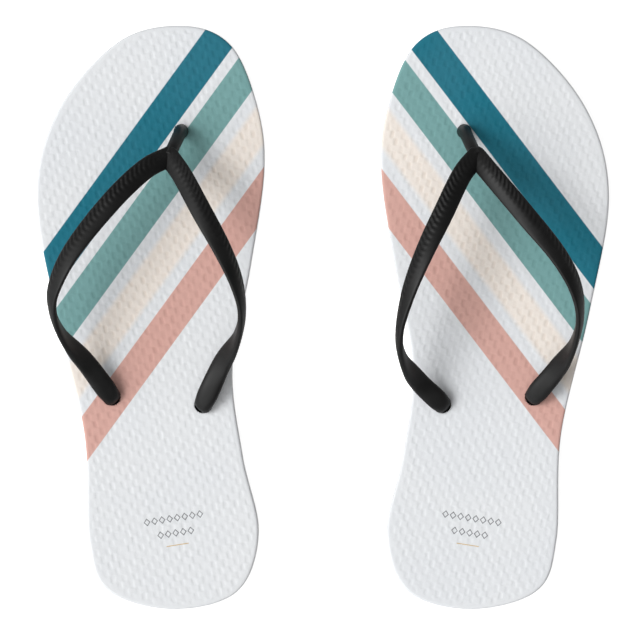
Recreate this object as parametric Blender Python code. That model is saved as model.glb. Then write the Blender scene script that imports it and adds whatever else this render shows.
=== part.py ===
"""A pair of flip flops: two die-cut laminated rubber soles, each with a moulded Y strap.

Each sandal is made of four pieces. A printed footbed sheet, a foam midsole and a treaded outsole are
glued in a stack, and a one-piece strap is pulled through three holes in it. The strap's stems end in
round plugs, which sit in recesses of the outsole and bear on the midsole.

The left sandal is drawn in its own frame: x towards the inner side of the foot, y from the heel to the
toes, z up from the ground. The right one is drawn the same way and mirrored. Run it in Blender:
blender --background --python part.py
"""

from collections import namedtuple
from math import cos, pi, sin, sqrt

import bmesh
import bpy
from mathutils import Matrix, Vector

# Overall sizes of one sandal, in metres.
SOLE_LENGTH = 0.260
SOLE_WIDTH = 0.1015
SANDAL_SPACING = 0.1537

# The glued stack, from the ground up.
OUTSOLE_THICKNESS = 0.0030
MIDSOLE_THICKNESS = 0.0094
FOOTBED_THICKNESS = 0.0030
GLUE_LINE = 0.0003
FOOTBED_EDGE_ROUND = 0.0010
OUTSOLE_EDGE_ROUND = 0.0006

# The outsole's zigzag tread.
TREAD_DEPTH = 0.0012
TREAD_GROOVE_WIDTH = 0.0022
TREAD_PITCH = 0.0128
TREAD_WAVE = 0.0022
TREAD_WAVE_LENGTH = 0.0280
TREAD_MARGIN = 0.0065
PLUG_LAND = 0.0025

# The strap's band, its paddle-shaped ends and the round post between the toes.
BAND_WIDTH = 0.0092
BAND_THICKNESS = 0.0032
PADDLE_WIDTH = 0.0090
PADDLE_THICKNESS = 0.0046
PADDLE_ROOT_THICKNESS = 0.0052
SHOULDER_HEIGHT = 0.0024
TOE_POST_DIAMETER = 0.0058
TOE_STEM_DIAMETER = 0.0064
SIDE_STEM_DIAMETER = 0.0072
TOE_PLUG_DIAMETER = 0.0180
SIDE_PLUG_DIAMETER = 0.0160
PLUG_THICKNESS = 0.0022
INSTEP_HEIGHT = 0.0380
VEE_HEIGHT = 0.0220

VEE_OVERLAP = 0.0005

# How far a paddle has come towards its arm, and risen, at the bend just over the footbed; the narrowing of
# the arms' front ends; and the bends of the toe post as (share of the way to the vee, share of its height).
PADDLE_LEAN_SHARE = 0.30
PADDLE_RISE_SHARE = 0.55
NOSE_SHARE = 0.40
TOE_POST_BENDS = [(0.0, 0.06), (0.12, 0.40), (0.55, 0.78), (0.98, 0.99)]

# Running room around the stems and plugs, and under the strap's shoulders.
STEM_CLEARANCE = 0.0004
PLUG_CLEARANCE = 0.0004
SEAT_GAP = 0.0003

# Smoothness of the solids.
POINTS_PER_SPAN = 4
RING_POINTS = 12
RINGS_PER_SPAN = 3
HOLE_SEGMENTS = 24

HALF_WIDTH = SOLE_WIDTH / 2
MIDSOLE_BOTTOM = OUTSOLE_THICKNESS + GLUE_LINE
MIDSOLE_TOP = MIDSOLE_BOTTOM + MIDSOLE_THICKNESS
FOOTBED_BOTTOM = MIDSOLE_TOP + GLUE_LINE
FOOTBED_TOP = FOOTBED_BOTTOM + FOOTBED_THICKNESS
PLUG_TOP = MIDSOLE_BOTTOM - SEAT_GAP
PLUG_BOTTOM = PLUG_TOP - PLUG_THICKNESS

# Landmarks round the sole, clockwise from the toe tip seen from above: shares of the half width and of
# the length. A smooth closed curve runs through them.
OUTLINE = [
    (0.30, 1.000),
    (0.71, 0.966),
    (0.94, 0.862),
    (1.00, 0.752),
    (0.88, 0.588),
    (0.72, 0.415),
    (0.81, 0.262),
    (0.95, 0.130),
    (0.76, 0.030),
    (0.20, 0.000),
    (-0.37, 0.032),
    (-0.54, 0.120),
    (-0.58, 0.300),
    (-0.83, 0.510),
    (-1.00, 0.710),
    (-0.80, 0.858),
    (-0.27, 0.974),
]

# Where the strap goes through the sole, and where its arms meet: shares of the half width and of the length.
TOE_HOLE = (0.270, 0.819)
HOLES = {"outer": (-0.337, 0.364), "inner": (0.463, 0.351)}
VEE = (0.170, 0.774)

# Where each arm passes seen from above, from the vee back to its hole: shares of the half width and of the
# length. The straps are soft, so the two of a pair don't lie quite alike.
ARM_PATHS = {
    "left": {
        "outer": [
            (-0.040, 0.752),
            (-0.331, 0.697),
            (-0.666, 0.615),
            (-0.824, 0.554),
            (-0.847, 0.515),
            (-0.760, 0.469),
            (-0.556, 0.422),
        ],
        "inner": [
            (0.286, 0.742),
            (0.445, 0.685),
            (0.642, 0.615),
            (0.763, 0.560),
            (0.810, 0.512),
            (0.766, 0.465),
            (0.631, 0.421),
        ],
    },
    "right": {
        "outer": [
            (0.030, 0.741),
            (-0.260, 0.673),
            (-0.544, 0.605),
            (-0.694, 0.550),
            (-0.733, 0.500),
            (-0.670, 0.450),
            (-0.522, 0.408),
        ],
        "inner": [
            (0.301, 0.742),
            (0.463, 0.677),
            (0.640, 0.605),
            (0.774, 0.538),
            (0.845, 0.475),
            (0.808, 0.427),
            (0.670, 0.390),
        ],
    },
}

# At each of those places: the height over the footbed as a share of the instep height, and the direction
# of the band's outer edge as (away from the middle of the foot, forward, up). The band twists half a turn
# on its way, so that its face looks up at the vee, outwards at the side and down at the hole.
ArmStation = namedtuple("ArmStation", "height edge")
ARM_STATIONS = [
    ArmStation(0.73, Vector((0.75, 0.63, 0.18))),
    ArmStation(0.90, Vector((0.77, 0.55, -0.10))),
    ArmStation(0.98, Vector((0.77, 0.33, -0.51))),
    ArmStation(0.93, Vector((0.55, 0.18, -0.82))),
    ArmStation(0.80, Vector((0.14, 0.07, -0.99))),
    ArmStation(0.57, Vector((-0.22, 0.24, -0.95))),
    ArmStation(0.28, Vector((-0.66, 0.62, -0.30))),
]

# A cross-section of the strap: its centre, the direction of its outer edge, its full width and thickness.
Section = namedtuple("Section", "centre edge width thickness")


def on_sole(shares, z=0.0):
    """The point of the left sandal at these shares of the half width and of the length."""
    return Vector((shares[0] * HALF_WIDTH, shares[1] * SOLE_LENGTH, z))


def catmull_rom(before, start, end, after, t):
    """A point on the smooth curve from start to end, at t from 0 to 1."""
    return 0.5 * (
        2 * start
        + (end - before) * t
        + (2 * before - 5 * start + 4 * end - after) * t**2
        + (3 * start - before - 3 * end + after) * t**3
    )


def sole_outline():
    """The sole's edge as a closed list of points, anticlockwise seen from above."""
    marks = [on_sole(shares) for shares in reversed(OUTLINE)]
    count = len(marks)
    points = []
    for i in range(count):
        around = [marks[(i + step) % count] for step in (-1, 0, 1, 2)]
        points += [catmull_rom(*around, k / POINTS_PER_SPAN) for k in range(POINTS_PER_SPAN)]
    return points


def sole_span(y, outline):
    """The sole's least and greatest x at this distance from the heel."""
    crossings = []
    for start, end in zip(outline, outline[1:] + outline[:1]):
        if (start.y <= y) != (end.y <= y):
            share = (y - start.y) / (end.y - start.y)
            crossings.append(start.x + share * (end.x - start.x))
    return min(crossings), max(crossings)


def new_material(name, colour, roughness):
    """A plain material of one colour."""
    material = bpy.data.materials.new(name)
    material.use_nodes = True
    shader = material.node_tree.nodes["Principled BSDF"]
    shader.inputs["Base Color"].default_value = (*colour, 1.0)
    shader.inputs["Roughness"].default_value = roughness
    shader.inputs["Metallic"].default_value = 0.0
    return material


def object_from(mesh_builder, name, side, material=None):
    """An object of the built mesh, placed under its sandal's empty. The right sandal's is mirrored."""
    bmesh.ops.transform(mesh_builder, matrix=side.mirror, verts=mesh_builder.verts)
    bmesh.ops.recalc_face_normals(mesh_builder, faces=mesh_builder.faces)
    mesh = bpy.data.meshes.new(name)
    mesh_builder.to_mesh(mesh)
    mesh_builder.free()
    made = bpy.data.objects.new(name, mesh)
    bpy.context.scene.collection.objects.link(made)
    made.parent = side.empty
    if material:
        mesh.materials.append(material)
    else:
        made.hide_render = True
        made.display_type = "WIRE"
    return made


class Side:
    """One sandal of the pair: its name, its empty and the matrix that mirrors it."""

    def __init__(self, name, direction):
        self.name = name
        self.mirror = Matrix.Diagonal((direction, 1, 1, 1))
        self.empty = bpy.data.objects.new(name + "_sandal", None)
        self.empty.location = (-direction * SANDAL_SPACING / 2, -SOLE_LENGTH / 2, 0)
        bpy.context.scene.collection.objects.link(self.empty)


def sheet(bottom, top, round_rim=None, round_size=0.0):
    """A sole-shaped sheet. round_rim is the height of the rim that gets a rounded edge."""
    builder = bmesh.new()
    face = builder.faces.new([builder.verts.new((p.x, p.y, bottom)) for p in sole_outline()])
    raised = bmesh.ops.extrude_face_region(builder, geom=[face])["geom"]
    lifted = [item for item in raised if isinstance(item, bmesh.types.BMVert)]
    bmesh.ops.translate(builder, verts=lifted, vec=(0, 0, top - bottom))
    if round_rim is not None:
        rim = [e for e in builder.edges if all(abs(v.co.z - round_rim) < 1e-6 for v in e.verts)]
        bmesh.ops.bevel(builder, geom=rim, offset=round_size, segments=2, profile=0.5, affect="EDGES")
    return builder


def add_cylinder(builder, centre, diameter, bottom, top):
    """A closed upright cylinder, added to the mesh."""
    radius = diameter / 2
    made = bmesh.ops.create_cone(
        builder, cap_ends=True, segments=HOLE_SEGMENTS, radius1=radius, radius2=radius, depth=top - bottom
    )
    bmesh.ops.translate(builder, verts=made["verts"], vec=(centre.x, centre.y, (bottom + top) / 2))


def stem_places():
    """The centre, stem diameter and plug diameter of the strap's three stems."""
    return [
        (on_sole(TOE_HOLE), TOE_STEM_DIAMETER, TOE_PLUG_DIAMETER),
        (on_sole(HOLES["inner"]), SIDE_STEM_DIAMETER, SIDE_PLUG_DIAMETER),
        (on_sole(HOLES["outer"]), SIDE_STEM_DIAMETER, SIDE_PLUG_DIAMETER),
    ]


def stem_cutter(side):
    """Cylinders for the holes that the stems pass through."""
    builder = bmesh.new()
    for centre, stem, _ in stem_places():
        add_cylinder(builder, centre, stem + 2 * STEM_CLEARANCE, 0.0, 2 * FOOTBED_TOP)
    return object_from(builder, side.name + "_stem_cutter", side)


def plug_cutter(side):
    """Cylinders for the outsole's recesses, which hold the plugs."""
    builder = bmesh.new()
    for centre, _, plug in stem_places():
        add_cylinder(builder, centre, plug + 2 * PLUG_CLEARANCE, -MIDSOLE_BOTTOM, 2 * MIDSOLE_BOTTOM)
    return object_from(builder, side.name + "_plug_cutter", side)


def tread_wave(x):
    """How far a groove's zigzag stands forward of its middle line at x."""
    phase = (x / TREAD_WAVE_LENGTH) % 1.0
    return TREAD_WAVE * (4 * abs(phase - 0.5) - 1)


def clear_stretches(y, low, high):
    """The stretches of a groove from low to high that stay off the lands around the plugs."""
    stretches = [(low, high)]
    for centre, _, plug in stem_places():
        reach = plug / 2 + PLUG_CLEARANCE + PLUG_LAND + TREAD_GROOVE_WIDTH / 2 + TREAD_WAVE
        if abs(y - centre.y) >= reach:
            continue
        half = sqrt(reach**2 - (y - centre.y) ** 2)
        cut = []
        for start, end in stretches:
            cut += [(start, min(end, centre.x - half)), (max(start, centre.x + half), end)]
        stretches = cut
    return [(start, end) for start, end in stretches if end - start > 2 * TREAD_GROOVE_WIDTH]


def add_groove(builder, y, start, end):
    """A zigzag prism from start to end along x, added to the tread's cutter."""
    bend = TREAD_WAVE_LENGTH / 2
    first = int(start // bend) + 1
    bends = [k * bend for k in range(first, int(end // bend) + 1)]
    stations = [start] + [x for x in bends if start + 1e-4 < x < end - 1e-4] + [end]
    corners = []
    for x in stations:
        middle = y + tread_wave(x)
        corners.append(
            [
                builder.verts.new((x, middle + dy, z))
                for dy, z in (
                    (-TREAD_GROOVE_WIDTH / 2, -TREAD_DEPTH),
                    (TREAD_GROOVE_WIDTH / 2, -TREAD_DEPTH),
                    (TREAD_GROOVE_WIDTH / 2, TREAD_DEPTH),
                    (-TREAD_GROOVE_WIDTH / 2, TREAD_DEPTH),
                )
            ]
        )
    close_rings(builder, corners)


def tread_cutter(side):
    """Every zigzag groove of one outsole, kept a margin inside its edge."""
    builder = bmesh.new()
    outline = sole_outline()
    count = int((SOLE_LENGTH - 2 * TREAD_MARGIN) / TREAD_PITCH)
    first = (SOLE_LENGTH - (count - 1) * TREAD_PITCH) / 2
    for k in range(count):
        y = first + k * TREAD_PITCH
        spans = [sole_span(y + shift, outline) for shift in (-TREAD_WAVE, 0.0, TREAD_WAVE)]
        low = max(span[0] for span in spans) + TREAD_MARGIN
        high = min(span[1] for span in spans) - TREAD_MARGIN
        for start, end in clear_stretches(y, low, high):
            add_groove(builder, y, start, end)
    return object_from(builder, side.name + "_tread_cutter", side)


def cut(target, cutter):
    """Takes the cutter's volume out of the target."""
    modifier = target.modifiers.new("cut_" + cutter.name, "BOOLEAN")
    modifier.operation = "DIFFERENCE"
    modifier.object = cutter


def close_rings(builder, rings):
    """Joins rings of vertices into one closed skin, with a face at each end."""
    count = len(rings[0])
    for lower, upper in zip(rings, rings[1:]):
        for k in range(count):
            following = (k + 1) % count
            builder.faces.new((lower[k], lower[following], upper[following], upper[k]))
    builder.faces.new(reversed(rings[0]))
    builder.faces.new(rings[-1])


def loft(sections):
    """A closed solid through the strap's cross-sections, each square to the line of their centres."""
    builder = bmesh.new()
    rings = []
    last = len(sections) - 1
    for i, section in enumerate(sections):
        along = sections[min(i + 1, last)].centre - sections[max(i - 1, 0)].centre
        along.normalize()
        across = (section.edge - section.edge.dot(along) * along).normalized()
        normal = along.cross(across)
        ring = []
        for k in range(RING_POINTS):
            angle = 2 * pi * k / RING_POINTS
            offset = across * (section.width / 2 * cos(angle)) + normal * (section.thickness / 2 * sin(angle))
            ring.append(builder.verts.new(section.centre + offset))
        rings.append(ring)
    close_rings(builder, rings)
    return builder


def smoothed(sections):
    """The sections with more between them, along a smooth curve through their centres."""
    made = []
    last = len(sections) - 1
    for i in range(last):
        around = [sections[min(max(i + step, 0), last)] for step in (-1, 0, 1, 2)]
        for k in range(RINGS_PER_SPAN):
            t = k / RINGS_PER_SPAN
            start, end = around[1], around[2]
            made.append(
                Section(
                    catmull_rom(*(section.centre for section in around), t),
                    start.edge.lerp(end.edge, t),
                    start.width + t * (end.width - start.width),
                    start.thickness + t * (end.thickness - start.thickness),
                )
            )
    return made + [sections[last]]


def plug_and_stem(centre, edge, stem, plug):
    """The round sections from the plug's underside up to the footbed's top face."""
    heights = [(PLUG_BOTTOM, plug), (PLUG_TOP, plug), (PLUG_TOP, stem), (FOOTBED_TOP, stem)]
    return [Section(Vector((centre.x, centre.y, z)), edge, diameter, diameter) for z, diameter in heights]


def arm_edges(direction):
    """The directions of an arm's outer edge, on the inner (1) or the outer (-1) side of the foot."""
    return [Vector((direction * station.edge.x, station.edge.y, station.edge.z)) for station in ARM_STATIONS]


def shoulder_sections(centre, edge, lean):
    """The sections that widen from the stem to the paddle, just over the footbed, and lean into the arm."""
    foot = Vector((centre.x, centre.y, FOOTBED_TOP + SEAT_GAP))
    return [
        Section(foot, edge, SIDE_STEM_DIAMETER, SIDE_STEM_DIAMETER),
        Section(foot + Vector((0, 0, SEAT_GAP)), edge, PADDLE_WIDTH, PADDLE_ROOT_THICKNESS),
        Section(foot + Vector((0, 0, SHOULDER_HEIGHT)), edge, PADDLE_WIDTH, PADDLE_ROOT_THICKNESS),
        Section(foot + lean, edge, PADDLE_WIDTH, PADDLE_THICKNESS),
    ]


def arm(path, hole, direction):
    """One arm of the strap, from its plug under the sole, round the side of the foot and up to the vee."""
    edges = arm_edges(direction)
    centre = on_sole(hole)
    paddle_edge = Vector((edges[-1].x, edges[-1].y, 0.0))
    end = on_sole(path[-1], ARM_STATIONS[-1].height * INSTEP_HEIGHT)
    lean = Vector(
        (
            PADDLE_LEAN_SHARE * (end.x - centre.x),
            PADDLE_LEAN_SHARE * (end.y - centre.y),
            PADDLE_RISE_SHARE * end.z,
        )
    )
    route = shoulder_sections(centre, paddle_edge, lean)
    for k in reversed(range(len(path))):
        at = on_sole(path[k], FOOTBED_TOP + ARM_STATIONS[k].height * INSTEP_HEIGHT)
        paddle = k == len(path) - 1
        width = PADDLE_WIDTH if paddle else BAND_WIDTH
        thickness = PADDLE_THICKNESS if paddle else BAND_THICKNESS
        route.append(Section(at, edges[k], width, thickness))
    vee = on_sole(VEE, FOOTBED_TOP + VEE_HEIGHT + direction * VEE_OVERLAP / 2)
    forward = (vee - route[-1].centre).normalized()
    route.append(Section(vee, edges[0], BAND_WIDTH, BAND_THICKNESS))
    nose = vee + forward * BAND_WIDTH / 2
    route.append(Section(nose, edges[0], NOSE_SHARE * BAND_WIDTH, BAND_THICKNESS / 2))
    root = plug_and_stem(centre, paddle_edge, SIDE_STEM_DIAMETER, SIDE_PLUG_DIAMETER)
    return loft(root + route[:2] + smoothed(route[2:]))


def toe_post():
    """The round post between the toes, from its plug under the sole up into the vee."""
    base = on_sole(TOE_HOLE)
    vee = on_sole(VEE)
    edge = Vector((1, 0, 0))
    route = [
        Section(
            base.lerp(vee, share) + Vector((0, 0, FOOTBED_TOP + rise * VEE_HEIGHT)),
            edge,
            TOE_POST_DIAMETER,
            TOE_POST_DIAMETER,
        )
        for share, rise in TOE_POST_BENDS
    ]
    return loft(plug_and_stem(base, edge, TOE_STEM_DIAMETER, TOE_PLUG_DIAMETER) + smoothed(route))


def join(target, piece):
    """Adds the piece's volume to the target, so that they are one moulding."""
    modifier = target.modifiers.new("join_" + piece.name, "BOOLEAN")
    modifier.operation = "UNION"
    modifier.object = piece


def make_strap(side, material):
    """The one-piece strap: both arms and the toe post, with their stems and plugs."""
    paths = ARM_PATHS[side.name]
    outer = arm(paths["outer"], HOLES["outer"], -1)
    inner = arm(paths["inner"], HOLES["inner"], 1)
    strap = object_from(outer, side.name + "_strap", side, material)
    join(strap, object_from(inner, side.name + "_inner_arm_shape", side))
    join(strap, object_from(toe_post(), side.name + "_toe_post_shape", side))


def make_soles(side, footbed_material, midsole_material, outsole_material):
    """The glued stack of one sandal, with the strap's holes, the plugs' recesses and the tread."""
    holes = stem_cutter(side)
    footbed = sheet(FOOTBED_BOTTOM, FOOTBED_TOP, FOOTBED_TOP, FOOTBED_EDGE_ROUND)
    cut(object_from(footbed, side.name + "_footbed", side, footbed_material), holes)
    midsole = sheet(MIDSOLE_BOTTOM, MIDSOLE_TOP)
    cut(object_from(midsole, side.name + "_midsole", side, midsole_material), holes)
    outsole_sheet = sheet(0.0, OUTSOLE_THICKNESS, 0.0, OUTSOLE_EDGE_ROUND)
    outsole = object_from(outsole_sheet, side.name + "_outsole", side, outsole_material)
    cut(outsole, plug_cutter(side))
    cut(outsole, tread_cutter(side))


def clear_scene():
    """Removes every object, so that only the sandals are there."""
    for old in list(bpy.data.objects):
        bpy.data.objects.remove(old, do_unlink=True)


def main():
    """Builds the pair."""
    clear_scene()
    footbed = new_material("printed_footbed", (0.90, 0.91, 0.92), 0.70)
    midsole = new_material("white_foam", (0.86, 0.86, 0.85), 0.80)
    outsole = new_material("pale_rubber", (0.78, 0.78, 0.77), 0.75)
    strap = new_material("black_rubber", (0.022, 0.023, 0.023), 0.50)
    for side in (Side("left", 1), Side("right", -1)):
        make_soles(side, footbed, midsole, outsole)
        make_strap(side, strap)


main()
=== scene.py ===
"""A pair of flip flops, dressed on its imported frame.

Each sandal is a class that builds its own four pieces: a printed footbed with raised pebble grain, a foam
midsole, a treaded outsole and a ribbed Y strap in one moulding. All sizes are in metres.
"""

from __future__ import annotations

import logging
from dataclasses import dataclass
from enum import Enum
from math import cos, hypot, pi, radians, sin, sqrt
from typing import Iterator, Sequence

import bmesh
import bpy
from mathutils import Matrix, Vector
from mathutils.geometry import delaunay_2d_cdt
from mathutils.kdtree import KDTree

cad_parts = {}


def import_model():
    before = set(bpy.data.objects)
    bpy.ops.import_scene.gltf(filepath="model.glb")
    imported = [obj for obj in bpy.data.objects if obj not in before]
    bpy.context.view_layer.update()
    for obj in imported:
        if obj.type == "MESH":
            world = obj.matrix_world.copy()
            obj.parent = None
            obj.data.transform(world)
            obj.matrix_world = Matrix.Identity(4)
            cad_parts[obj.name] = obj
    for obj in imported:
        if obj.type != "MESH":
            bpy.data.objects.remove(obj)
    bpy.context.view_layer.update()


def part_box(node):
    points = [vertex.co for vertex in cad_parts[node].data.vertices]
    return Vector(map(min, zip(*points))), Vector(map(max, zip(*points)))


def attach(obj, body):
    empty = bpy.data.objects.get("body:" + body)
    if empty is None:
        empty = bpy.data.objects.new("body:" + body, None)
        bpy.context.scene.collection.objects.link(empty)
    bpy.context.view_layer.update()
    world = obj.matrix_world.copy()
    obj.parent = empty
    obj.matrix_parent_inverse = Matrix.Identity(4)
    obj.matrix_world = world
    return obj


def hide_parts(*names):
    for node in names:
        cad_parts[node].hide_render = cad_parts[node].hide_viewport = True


LOG = logging.getLogger("flip_flops")
TAU = 2 * pi
MM = 0.001

Share = tuple[float, float]
Socket = bpy.types.NodeSocket
Node = bpy.types.Node
Tree = bpy.types.NodeTree
Inputs = bpy.types.NodeInputs
Outputs = bpy.types.NodeOutputs
Ring = Sequence[bmesh.types.BMVert]
Value = float | Socket
Tone = tuple[int, int, int]

WHITE = (1.0, 1.0, 1.0, 1.0)


# ---------------------------------------------------------------------------------------------------------
# Plan of a sandal
# ---------------------------------------------------------------------------------------------------------


class Side(Enum):
    """The foot that a sandal is for. The value is the way its inner side faces along X."""

    LEFT = 1
    RIGHT = -1

    @property
    def label(self) -> str:
        """The side's word in the names of pieces and bodies."""
        return self.name.lower()

    @property
    def body(self) -> str:
        """The name of the body that this side's pieces ride on."""
        return f"{self.label}_sandal"


# Landmarks round the sole: shares of the half width, inwards, and of the length, from the heel.
OUTLINE: list[Share] = [
    *((0.30, 1.000), (0.71, 0.966), (0.94, 0.862), (1.00, 0.752), (0.88, 0.588), (0.72, 0.415)),
    *((0.81, 0.262), (0.95, 0.130), (0.76, 0.030), (0.20, 0.000), (-0.37, 0.032), (-0.54, 0.120)),
    *((-0.58, 0.300), (-0.83, 0.510), (-1.00, 0.710), (-0.80, 0.858), (-0.27, 0.974)),
]

# The strap's holes and the vee where its arms meet, as the same shares.
TOE_HOLE: Share = (0.270, 0.819)
INNER_HOLE: Share = (0.463, 0.351)
OUTER_HOLE: Share = (-0.337, 0.364)
VEE: Share = (0.170, 0.774)

# Where each arm passes seen from above, from the vee back to its hole. The two soft straps don't lie alike.
ARM_PATHS: dict[Side, dict[str, list[Share]]] = {
    Side.LEFT: {
        "outer": [
            *((-0.040, 0.752), (-0.331, 0.697), (-0.666, 0.615), (-0.824, 0.554)),
            *((-0.847, 0.515), (-0.760, 0.469), (-0.556, 0.422)),
        ],
        "inner": [
            *((0.286, 0.742), (0.445, 0.685), (0.642, 0.615), (0.763, 0.560)),
            *((0.810, 0.512), (0.766, 0.465), (0.631, 0.421)),
        ],
    },
    Side.RIGHT: {
        "outer": [
            *((0.030, 0.741), (-0.260, 0.673), (-0.544, 0.605), (-0.694, 0.550)),
            *((-0.733, 0.500), (-0.670, 0.450), (-0.522, 0.408)),
        ],
        "inner": [
            *((0.301, 0.742), (0.463, 0.677), (0.640, 0.605), (0.774, 0.538)),
            *((0.845, 0.475), (0.808, 0.427), (0.670, 0.390)),
        ],
    },
}


def catmull_rom(before: Vector, start: Vector, end: Vector, after: Vector, t: float) -> Vector:
    """A point on the smooth curve from start to end.

    Args:
        before, after: The curve's neighbouring points.
        start, end: The points that the curve runs between.
        t: How far along, from 0 to 1.

    Returns:
        The point.
    """
    return 0.5 * (
        2 * start
        + (end - before) * t
        + (2 * before - 5 * start + 4 * end - after) * t**2
        + (3 * start - before - 3 * end + after) * t**3
    )


def smooth_step(value: float) -> float:
    """An even rise from 0 to 1 as value goes from 0 to 1, flat at both ends."""
    held = min(max(value, 0.0), 1.0)
    return held * held * (3 - 2 * held)


@dataclass(frozen=True)
class SolePlan:
    """Where one sandal stands on the frame, and the shape of its sole seen from above."""

    side: Side
    centre_x: float
    heel_y: float
    half_width: float
    length: float
    points_per_span: int = 40

    @classmethod
    def from_frame(cls, side: Side) -> SolePlan:
        """Reads the plan of one side's sandal from its packed footbed."""
        low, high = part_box(f"{side.label}_footbed")
        return cls(side, (low[0] + high[0]) / 2, low[1], (high[0] - low[0]) / 2, high[1] - low[1])

    def at(self, share: Share, z: float = 0.0) -> Vector:
        """The point at these shares of the half width and of the length."""
        x = self.centre_x + self.side.value * share[0] * self.half_width
        return Vector((x, self.heel_y + share[1] * self.length, z))

    def mirrored(self, point: Vector) -> Vector:
        """A point drawn for the left foot, turned over for this one, or the other way round."""
        return Vector((self.side.value * point.x, point.y, point.z))

    def drawn(self, share: Share, z: float = 0.0) -> Vector:
        """The point at these shares, drawn as for a left foot about the frame's own X."""
        return self.mirrored(self.at(share, z))

    def outline(self) -> list[Vector]:
        """The sole's edge as a closed loop of points, anticlockwise seen from above."""
        marks = [self.at(share) for share in OUTLINE]
        if self.side is Side.LEFT:
            marks.reverse()
        count = len(marks)
        loop = []
        for i in range(count):
            around = [marks[(i + step) % count] for step in (-1, 0, 1, 2)]
            loop += [catmull_rom(*around, k / self.points_per_span) for k in range(self.points_per_span)]
        return loop


def inset(loop: Sequence[Vector], distance: float) -> list[Vector]:
    """The loop drawn in by a distance.

    Args:
        loop: Points of a closed loop, anticlockwise seen from above.
        distance: How far each point moves inwards.

    Returns:
        The new loop, point for point.
    """
    count = len(loop)
    moved = []
    for i, point in enumerate(loop):
        tangent = loop[(i + 1) % count] - loop[i - 1]
        moved.append(point + Vector((-tangent.y, tangent.x, 0)).normalized() * distance)
    return moved


def circle(centre: Vector, radius: float, points: int) -> list[Vector]:
    """A closed level loop of points round a centre."""
    turns = [TAU * k / points for k in range(points)]
    return [centre + Vector((cos(turn), sin(turn), 0)) * radius for turn in turns]


# ---------------------------------------------------------------------------------------------------------
# Node trees
# ---------------------------------------------------------------------------------------------------------


class Wiring:
    """Adds nodes to one node tree and links them."""

    def __init__(self, tree: Tree) -> None:
        """Starts on an empty or a new tree."""
        self.tree = tree

    def add(self, kind: str, **settings: object) -> Node:
        """A new node of this kind, with its properties set."""
        node = self.tree.nodes.new(kind)
        for name, value in settings.items():
            setattr(node, name, value)
        return node

    def feed(self, socket: Socket, value: object) -> None:
        """Links a socket to another, or sets it to a plain value."""
        if isinstance(value, Socket):
            self.tree.links.new(value, socket)
        else:
            socket.default_value = value

    def math(self, operation: str, *values: Value) -> Socket:
        """The result of one Math node on sockets or numbers."""
        node = self.add("ShaderNodeMath", operation=operation)
        for socket, value in zip(node.inputs, values):
            self.feed(socket, value)
        return node.outputs[0]

    def times(self, first: Value, *others: Value) -> Socket:
        """The product of sockets or numbers."""
        for other in others:
            first = self.math("MULTIPLY", first, other)
        return first

    def plus(self, first: Value, second: Value) -> Socket:
        """The sum of two sockets or numbers."""
        return self.math("ADD", first, second)

    def minus(self, first: Value, second: Value) -> Socket:
        """The first less the second."""
        return self.math("SUBTRACT", first, second)

    def over(self, first: Value, second: Value) -> Socket:
        """The first divided by the second."""
        return self.math("DIVIDE", first, second)

    def size(self, value: Value) -> Socket:
        """The value without its sign."""
        return self.math("ABSOLUTE", value)

    def vector(self, operation: str, *values: object) -> Node:
        """A Vector Math node on sockets or vectors."""
        node = self.add("ShaderNodeVectorMath", operation=operation)
        for socket, value in zip(node.inputs, values):
            self.feed(socket, value)
        return node

    def ramp(self, value: Value, low: Value, high: Value, start: Value = 0.0, end: Value = 1.0) -> Socket:
        """A smooth rise from start to end as value goes from low to high."""
        node = self.add("ShaderNodeMapRange", interpolation_type="SMOOTHSTEP")
        given = {"Value": value, "From Min": low, "From Max": high, "To Min": start, "To Max": end}
        for name, number in given.items():
            self.feed(node.inputs[name], number)
        return node.outputs["Result"]

    def noise(self, vector: Socket, scale: Value, detail: float = 2.0) -> Node:
        """A noise texture. Its first output is its value."""
        node = self.add("ShaderNodeTexNoise")
        self.feed(node.inputs["Vector"], vector)
        self.feed(node.inputs["Scale"], scale)
        node.inputs["Detail"].default_value = detail
        return node

    def split(self, vector: Socket) -> bpy.types.bpy_prop_collection:
        """The X, Y and Z of a vector."""
        node = self.add("ShaderNodeSeparateXYZ")
        self.feed(node.inputs[0], vector)
        return node.outputs

    def attribute(self, name: str) -> Socket:
        """The value of a float attribute in a material."""
        return self.add("ShaderNodeAttribute", attribute_name=name).outputs["Fac"]

    def mix(self, factor: Value, first: object, second: object) -> Socket:
        """A colour between two."""
        node = self.add("ShaderNodeMix", data_type="RGBA")
        self.feed(node.inputs[0], factor)
        self.feed(node.inputs[6], first)
        self.feed(node.inputs[7], second)
        return node.outputs[2]

    def group(self, tree: Tree, **values: object) -> Node:
        """A group node whose named inputs are set; an underscore in a name stands for a space."""
        kind = "GeometryNodeGroup" if tree.bl_idname == "GeometryNodeTree" else "ShaderNodeGroup"
        node = self.add(kind)
        node.node_tree = tree
        for name, value in values.items():
            self.feed(node.inputs[name.replace("_", " ")], value)
        return node


def new_group(
    name: str, kind: str, inputs: dict[str, str], outputs: dict[str, str]
) -> tuple[Wiring, Outputs, Inputs]:
    """A new node group with named sockets.

    Args:
        name: The group's name.
        kind: The tree's type, such as ShaderNodeTree.
        inputs: The inputs' kinds by name, such as {"Pitch": "Float"}.
        outputs: The same for the outputs.

    Returns:
        The group's wiring, what comes into it and what leaves it.
    """
    tree = bpy.data.node_groups.new(name, kind)
    for in_out, sockets in (("INPUT", inputs), ("OUTPUT", outputs)):
        for label, socket_kind in sockets.items():
            tree.interface.new_socket(label, in_out=in_out, socket_type=f"NodeSocket{socket_kind}")
    wiring = Wiring(tree)
    return wiring, wiring.add("NodeGroupInput").outputs, wiring.add("NodeGroupOutput").inputs


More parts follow.
